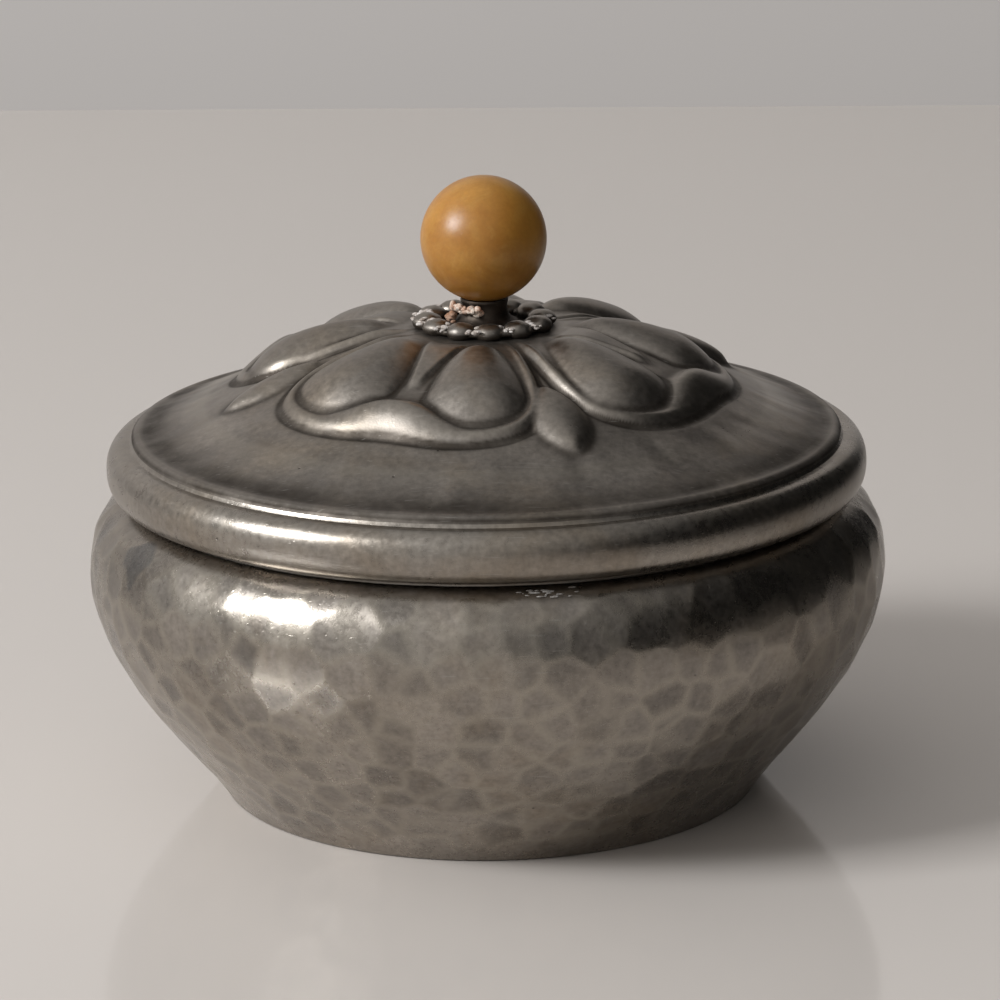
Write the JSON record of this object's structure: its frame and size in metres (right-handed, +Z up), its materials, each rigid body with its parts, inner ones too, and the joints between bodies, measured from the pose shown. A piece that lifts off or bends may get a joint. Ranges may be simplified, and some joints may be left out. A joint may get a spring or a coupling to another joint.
{
  "type": "covered sugar bowl",
  "caption": "Round hammered pewter sugar bowl with a domed lift-off lid, a raised rose on the lid and a ball knob",
  "frame": {"origin": "centre of the bowl's round base, on the surface it stands on", "axes": "+Z up through the knob, +X to the picture's right, -Y towards the camera"},
  "size_m": [0.13, 0.13, 0.1008],
  "materials": {
    "hammered_pewter": "planished facets, warm grey-brown patina, satin",
    "lid_pewter": "smooth, rubbed bright on the high parts, fine scratches",
    "dark_pewter": "tarnished dark in the hollows, beads rubbed bright",
    "brass_fixing": "dull turned brass",
    "butterscotch_resin": "satin-polished cast resin, faintly mottled",
    "cement_crumbs": "dry, crumbly, chalky"
  },
  "bodies": {
    "bowl": {"bowl_body": "hammered_pewter", "mouth_collar": "hammered_pewter"},
    "lid": {"lid_shell": "lid_pewter", "lid_moulding": "lid_pewter", "lid_flange": "lid_pewter", "bead_ring": "dark_pewter", "knob_neck": "dark_pewter", "knob_stud": "brass_fixing", "knob_washer": "brass_fixing", "knob_nut": "brass_fixing", "knob_ball": "butterscotch_resin", "old_cement": "cement_crumbs"}
  },
  "joints": [
    {"name": "lid_lift", "type": "slide", "parent": "bowl", "child": "lid", "axis": [0, 0, 1], "range_m": [0, 0.08]}
  ]
}
